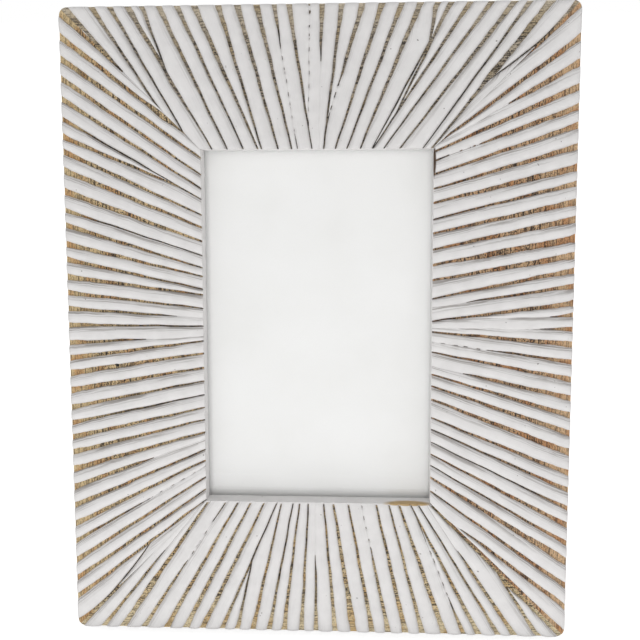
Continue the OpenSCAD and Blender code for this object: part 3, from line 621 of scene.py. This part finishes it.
def whitewashed_wood(name, wood, spots, seed):
    """Mango wood, carved, stained and limed: a matte white wash stands on the ribs with dark
    hairlines where the brush ran along them, painted on the flanks that face up as brush dirt
    and painted shade, and the grooves show bare wood, brown and ochre, with dark ticks of grain
    across them and painted shade with soot, near black, where they are narrow."""
    material, tree, out = new_material(name)
    height = add(tree, "Attribute", attribute_name="height").outputs["Fac"]
    covered = add(tree, "Attribute", attribute_name="covered").outputs["Fac"]
    narrow = add(tree, "Attribute", attribute_name="narrow").outputs["Fac"]
    up_facing_shade = add(tree, "Attribute", attribute_name="flank").outputs["Fac"]
    lane = add(tree, "Attribute", attribute_name="lane").outputs["Vector"]
    grain = add(tree, "Attribute", attribute_name="grain").outputs["Vector"]

    def noise(place, scale, detail, rough=0.55):
        mapped = add(tree, "Mapping", {0: place, "Scale": scale})
        return add(tree, "TexNoise", {"Vector": mapped.outputs[0], "Scale": 1.0,
                                      "Detail": detail, "Roughness": rough}).outputs["Fac"]

    def level(value, low, high, start=0.0, end=1.0):
        return add(tree, "MapRange", {0: value, 1: low, 2: high, 3: start, 4: end}).outputs[0]

    def blend(share, first, second):
        ends = [colour(c) if isinstance(c, str) else c for c in (first, second)]
        return add(tree, "Mix", {0: share, 6: ends[0], 7: ends[1]}, data_type="RGBA").outputs[2]

    def times(first, second):
        return add(tree, "Math", {0: first, 1: second}, operation="MULTIPLY").outputs[0]

    # Brush hairs: 0.4 mm apart and about 20 mm long, along each rib
    brush = noise(lane, (0.05, 2.3, 3.7), 3.0)
    # Blotches of thin and thick wash, about 6 mm across
    blotch = noise(grain, (0.16, 0.16, 0.16), 4.0)
    # Grain of the bare wood: lines 0.6 mm apart that run along the member
    lines = noise(grain, (0.16, 1.7, 1.7), 3.0, 0.7)
    # Patches of ochre and brown wood, about 10 mm long
    patch = noise(grain, (0.10, 0.14, 0.14), 2.0)
    # Pores and dirt: dark specks 0.5 mm across
    pores = noise(grain, (1.4, 2.0, 2.0), 2.0, 0.6)

    # Wash covers a point by its height, and reaches further down where the brush left more
    reach = add(tree, "Math", {0: brush, 1: 0.30, 2: height}, operation="MULTIPLY_ADD")
    reach = add(tree, "Math", {0: blotch, 1: 0.30, 2: reach.outputs[0]}, operation="MULTIPLY_ADD")
    reach = add(tree, "Math", {0: reach.outputs[0], 1: covered}, operation="ADD")
    wash = add(tree, "MapRange", {0: reach.outputs[0], 1: 0.39, 2: 0.49},
               interpolation_type="SMOOTHSTEP").outputs[0]

    # Bare wood: paler in the open ends of the grooves, with patches, ticks, pores and dirt,
    # and calm behind; narrow grooves get painted shade with soot
    depth = add(tree, "SeparateXYZ", {0: lane}).outputs[0]
    bare = blend(level(depth, 3.0, 24.0, 0.0, 0.8), wood[0], wood[1])
    carved = level(height, -0.8, -0.2, 0.25, 1.0)
    bare = blend(times(level(patch, 0.48, 0.62, 0.0, 0.6), carved), bare, wood[2])
    ticks = times(level(lines, 0.51, 0.58), level(depth, 2.0, 14.0, 0.6, 0.97))
    ticks = times(ticks, carved)
    dirt = times(level(pores, 0.54, 0.58), level(depth, 3.0, 16.0, 0.4, 1.0))
    dirt = times(dirt, carved)
    bare = blend(ticks, bare, wood[3])
    bare = blend(dirt, bare, "#241C16")
    # Painted shade with soot: the bare wood goes near black where a groove is narrow
    soot_and_shade = times(narrow, level(lines, 0.42, 0.56, 0.6, 1.0))
    bare = blend(soot_and_shade, bare, "#1A1410")

    # Wash: white, with grey hairlines below each groove of the stiles, painted only on flanks that
    # face up, as brush dirt and painted shade
    hairline_and_shade = times(level(brush, 0.51, 0.44), level(up_facing_shade, 0.1, 0.7, 0.0, 0.65))
    chalk = blend(level(blotch, 0.35, 0.65), "#E6E4E3", "#DCDAD9")
    chalk = blend(level(brush, 0.4, 0.6, 0.0, 0.5), chalk, "#E4E2E1")
    chalk = blend(hairline_and_shade, chalk, "#7A716A")
    # A few dark specks where the wash chipped off
    chips = noise(grain, (0.7, 0.7, 0.7), 1.0)
    chalk = blend(level(chips, 0.79, 0.81, 0.0, 0.7), chalk, "#4A3F36")
    tint = blend(wash, bare, chalk)
    # Spots: a colour inside an ellipsoid that reaches down the carving but not to the back
    for along, inward, half_u, half_d, code in spots:
        halves = (half_u, half_d, SPOT_HALF_H)
        centre = [-(at + GRAIN_SHIFT * seed) / size
                  for at, size in zip((along, inward, SPOT_H), halves)]
        near = add(tree, "Mapping", {0: grain, "Location": centre,
                                     "Scale": [1 / size for size in halves]}).outputs[0]
        away = add(tree, "VectorMath", {0: near}, operation="LENGTH").outputs["Value"]
        tint = blend(level(away, 1.2, 0.8), tint, code)

    rough = add(tree, "MapRange", {0: wash, 3: WOOD_ROUGH, 4: WASH_ROUGH}).outputs[0]
    fibres = add(tree, "Mix", {0: wash, 2: lines, 3: brush}, data_type="FLOAT").outputs[0]
    bump = add(tree, "Bump", {"Strength": 0.35, "Distance": WOOD_TOOTH * MM, "Height": fibres})
    shader = add(tree, "BsdfPrincipled", {
        "Base Color": tint, "Roughness": rough, "Normal": bump.outputs[0]})
    tree.links.new(shader.outputs[0], out.inputs[0])
    return material


def picture_glass():
    """Clear float glass, 2 mm thick: it mirrors a little and lets the rest of the light through.

    Light goes straight through it, so both of its faces mirror by the angle in the air."""
    material, tree, out = new_material("float_glass")
    clear = add(tree, "BsdfTransparent", {0: colour("#FFFFFF")})
    mirror = add(tree, "BsdfGlossy", {0: (1, 1, 1, 1), "Roughness": 0.02})
    inside = add(tree, "NewGeometry").outputs["Backfacing"]
    index = add(tree, "MapRange", {0: inside, 3: GLASS_IOR, 4: 1 / GLASS_IOR})
    share = add(tree, "Fresnel", {"IOR": index.outputs[0]})
    both = add(tree, "MixShader", {0: share.outputs[0], 1: clear.outputs[0],
                                   2: mirror.outputs[0]})
    tree.links.new(both.outputs[0], out.inputs[0])
    return material


def fibre_board(name, code, dark, grain_mm, rough):
    """Pressed fibres, as in card and hardboard: one colour flecked with lighter and darker
    fibres, matte, with a faint tooth."""
    material, tree, out = new_material(name)
    place = add(tree, "TexCoord").outputs["Object"]
    fleck = add(tree, "TexNoise", {"Vector": place, "Scale": 1 / (grain_mm * MM), "Detail": 5.0,
                                   "Roughness": 0.7}).outputs["Fac"]
    cloud = add(tree, "TexNoise", {"Vector": place, "Scale": 1 / (BOARD_CLOUD * MM),
                                   "Detail": 2.0}).outputs["Fac"]
    blend = add(tree, "Math", {0: fleck, 1: cloud}, operation="MULTIPLY").outputs[0]
    share = add(tree, "MapRange", {0: blend, 1: 0.12, 2: 0.36}).outputs[0]
    tint = add(tree, "Mix", {0: share, 6: colour(dark), 7: colour(code)},
               data_type="RGBA").outputs[2]
    bump = add(tree, "Bump", {"Strength": 0.3, "Distance": BOARD_TOOTH * MM, "Height": fleck})
    shader = add(tree, "BsdfPrincipled", {
        "Base Color": tint, "Roughness": rough, "Normal": bump.outputs[0]})
    tree.links.new(shader.outputs[0], out.inputs[0])
    return material


def plated_metal(name, code, worn, rough):
    """Thin plate on rolled steel: fine rolling marks along the sheet, a little smoother and
    rougher than the rest, and duller patches."""
    material, tree, out = new_material(name)
    place = add(tree, "TexCoord").outputs["Object"]
    rolled = add(tree, "Mapping", {0: place, "Scale": (
        MARKS_ACROSS / MM, MARKS_ALONG / MM, MARKS_ALONG / MM)})
    marks = add(tree, "TexNoise", {"Vector": rolled.outputs[0], "Scale": 1.0,
                                   "Detail": 2.0}).outputs["Fac"]
    dull = add(tree, "TexNoise", {"Vector": place, "Scale": 1 / (PLATE_DULL * MM),
                                  "Detail": 3.0}).outputs["Fac"]
    share = add(tree, "MapRange", {0: dull, 1: 0.45, 2: 0.75}).outputs[0]
    tint = add(tree, "Mix", {0: share, 6: colour(code), 7: colour(worn)},
               data_type="RGBA").outputs[2]
    streaks = add(tree, "MapRange", {0: marks, 3: rough - 0.07, 4: rough + 0.1}).outputs[0]
    shader = add(tree, "BsdfPrincipled", {
        "Base Color": tint, "Roughness": streaks, "Metallic": 1.0})
    tree.links.new(shader.outputs[0], out.inputs[0])
    return material


# Stage: a pale floor, a white world and soft lamps

# Radius of the floor, in metres, and its corners; how much it glows to what looks at it, and
# how bright the world is as a light
FLOOR_R = 4.0
FLOOR_CORNERS = 48
FLOOR_GLOW = 0.7
WORLD_LIGHT = 0.575

# The photo's width and its focal length in pixels, and the width of the film in mm
PHOTO_PX = 640
FOCAL_PX = 938.4
FILM_W = 36


def looking_rays(tree):
    """1 for rays from the camera, off a mirror or through glass, and 0 for those that light."""
    rays = add(tree, "LightPath")
    seen = add(tree, "Math", {0: rays.outputs["Is Camera Ray"],
                              1: rays.outputs["Is Glossy Ray"]}, operation="MAXIMUM")
    return add(tree, "Math", {0: seen.outputs[0], 1: rays.outputs["Is Transmission Ray"]},
               operation="MAXIMUM").outputs[0]


def pale_floor():
    """Smooth white paper: it keeps the frame's shadow and shows white where that ends."""
    material, tree, out = new_material("white_sweep")
    glow = add(tree, "Math", {0: looking_rays(tree), 1: FLOOR_GLOW}, operation="MULTIPLY")
    matt = add(tree, "BsdfDiffuse", {0: colour("#E8E8E8")})
    light = add(tree, "Emission", {0: (1, 1, 1, 1), 1: glow.outputs[0]})
    both = add(tree, "AddShader", {0: matt.outputs[0], 1: light.outputs[0]})
    tree.links.new(both.outputs[0], out.inputs[0])
    return material


def build_stage():
    """A flat round floor 8 m across, well past what the camera sees."""
    turn = np.linspace(0, 2 * math.pi, FLOOR_CORNERS, endpoint=False)
    ring = np.stack([FLOOR_R * np.cos(turn), FLOOR_R * np.sin(turn), 0 * turn], axis=-1)
    mesh = bpy.data.meshes.new("floor")
    mesh.from_pydata(ring.tolist(), [], [list(range(FLOOR_CORNERS))])
    floor = bpy.data.objects.new("floor", mesh)
    bpy.context.scene.collection.objects.link(floor)
    mesh.materials.append(pale_floor())


def build_world():
    """A white surround that lights the frame evenly."""
    world = bpy.data.worlds.new("surround")
    bpy.context.scene.world = world
    world.use_nodes = True
    tree = world.node_tree
    tree.nodes.clear()
    level = add(tree, "MapRange", {0: looking_rays(tree), 3: WORLD_LIGHT, 4: 1.0})
    sky = add(tree, "Background", {0: (1, 1, 1, 1), 1: level.outputs[0]})
    out = add(tree, "OutputWorld")
    tree.links.new(sky.outputs[0], out.inputs[0])


def build_lamp(name, place, aim, size, power):
    """A square soft box at a place, in metres, turned to an aim, that nothing mirrors."""
    lamp = bpy.data.lights.new(name, "AREA")
    lamp.shape = "SQUARE"
    lamp.size = size
    lamp.energy = power
    holder = bpy.data.objects.new(name, lamp)
    holder.location = place
    holder.visible_glossy = False
    holder.rotation_euler = (Vector(aim) - Vector(place)).to_track_quat("-Z", "Y").to_euler()
    bpy.context.scene.collection.objects.link(holder)


def build_camera():
    """The photograph's view: a normal lens 0.39 m before the frame, to the right of the middle
    and above it, turned a little left and down and hardly rolled. Its place, in mm, and its
    angles are those of the upright frame, and it leans back with it."""
    across, up, away = 22.7, 173.8, 388.9
    left, down, roll = math.radians(3.289), math.radians(6.56), math.radians(-0.124)
    place = standing([[across, -away, up]])[0]
    ahead = np.array([-math.sin(left) * math.cos(down), math.cos(left) * math.cos(down),
                      -math.sin(down)])
    level = np.array([math.cos(left), math.sin(left), 0])
    side = level * math.cos(roll) + np.cross(level, ahead) * math.sin(roll)
    origin = standing([[0, 0, 0]])[0]
    axes = [(standing([v])[0] - origin) / MM for v in (side, np.cross(side, ahead), -ahead)]
    camera = bpy.data.cameras.new("camera")
    camera.sensor_width = FILM_W
    camera.lens = FILM_W * FOCAL_PX / PHOTO_PX
    camera.clip_start = 0.01
    holder = bpy.data.objects.new("camera", camera)
    holder.matrix_world = Matrix([[*(float(a[i]) for a in axes), float(place[i])]
                                  for i in range(3)] + [[0, 0, 0, 1]])
    bpy.context.scene.collection.objects.link(holder)
    bpy.context.scene.camera = holder


def dress(node, material):
    """Gives a solid that keeps its own shape its finish."""
    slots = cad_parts[node].data.materials
    slots.clear()
    slots.append(material)


# Glass

def glass_sheet():
    """The pane: a flat sheet inside the room that its solid takes, a little shy of it all round.

    Its skin is a rectangle's outline swept along a profile across the sheet, from the middle
    of one face over its arris, the edge and the other arris to the middle of the other face;
    each ring of the profile holds four corners with their small rounding. In the profile a
    point has its inset from the edge and its level, and an inset below 0 is the middle."""
    width = 2 * (HALF_W - REBATE_WALL - GLASS_PLAY)
    height = 2 * (HALF_H - REBATE_WALL - GLASS_PLAY)
    arris, round_r, deep = GLASS_ARRIS, GLASS_ROUND, GLASS_T - 2 * GLASS_SHY
    profile = np.array([
        (-1.0, 0), (0.5 * arris, 0), (arris, 0), (0, arris), (0, 0.5 * GLASS_T),
        (0, deep - arris), (arris, deep), (-1.0, deep)])
    inset, level = profile.T
    turn = np.radians(np.concatenate([
        np.linspace(a, a + 90, ROUND_POINTS) for a in (0, 90, 180, 270)]))
    side_x = np.repeat([1, -1, -1, 1], ROUND_POINTS)
    side_z = np.repeat([1, 1, -1, -1], ROUND_POINTS)
    centre = (inset < 0)[:, None]
    inset = np.maximum(inset, 0)[:, None]
    x = side_x * (width / 2 - GLASS_SHY - inset - round_r) + round_r * np.cos(turn)
    z = side_z * (height / 2 - GLASS_SHY - inset - round_r) + round_r * np.sin(turn)
    x = np.where(centre, 0, x)
    z = np.where(centre, 0, z) + HALF_H
    y = -(REBATE_H - GLASS_SHY - level)[:, None] + 0 * x
    points = standing(np.stack([x, y, z], axis=-1).reshape(-1, 3))
    return new_piece("glass_sheet", points, net_faces(*x.shape), GLASS_SHARP, True)


# Members

for name, member in MEMBERS.items():
    skin = member_skin(name + "_carved", member)
    skin.data.materials.append(whitewashed_wood(
        "limed_" + name, member["wood"], member["spots"], member["seed"]))
    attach(skin, "frame")
    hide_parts(name)

# Everything else keeps its solid and gets its finish

zinc = plated_metal("zinc_plate", "#C2C5C8", "#9FA3A6", 0.34)
brass = plated_metal("brass_plate", "#C9A45C", "#A17C3C", 0.32)
hardboard = fibre_board("hardboard", "#7A553A", "#553722", 0.6, 0.7)
sheet = glass_sheet()
sheet.data.materials.append(picture_glass())
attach(sheet, "frame")
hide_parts("glass_pane")
dress("insert_card", fibre_board("white_card", "#FCFCFB", "#F6F6F4", 0.3, 0.8))
dress("filler_card", fibre_board("grey_board", "#9C968C", "#7F786E", 0.5, 0.85))
dress("backing_board", hardboard)
dress("strut_board", hardboard)
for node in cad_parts:
    if node.startswith("sawtooth"):
        dress(node, brass)
    elif node.startswith(("turn_button", "hinge", "board_", "strut_hinge", "strut_rivets",
                          "hanger_nails", "corner_v")):
        dress(node, zinc)

build_stage()
build_world()
# One lamp lies at the frame's foot and shines up, and one stands before the frame
build_lamp("low_box", place=(0, -0.488, 0.004), aim=(0, -0.488, 1), size=0.86, power=1.5)
build_lamp("front", place=(-0.05, -1.4, 0.15), aim=(0, 0, 0.12), size=0.5, power=5.2)
build_camera()
bpy.context.scene.view_settings.view_transform = "Standard"
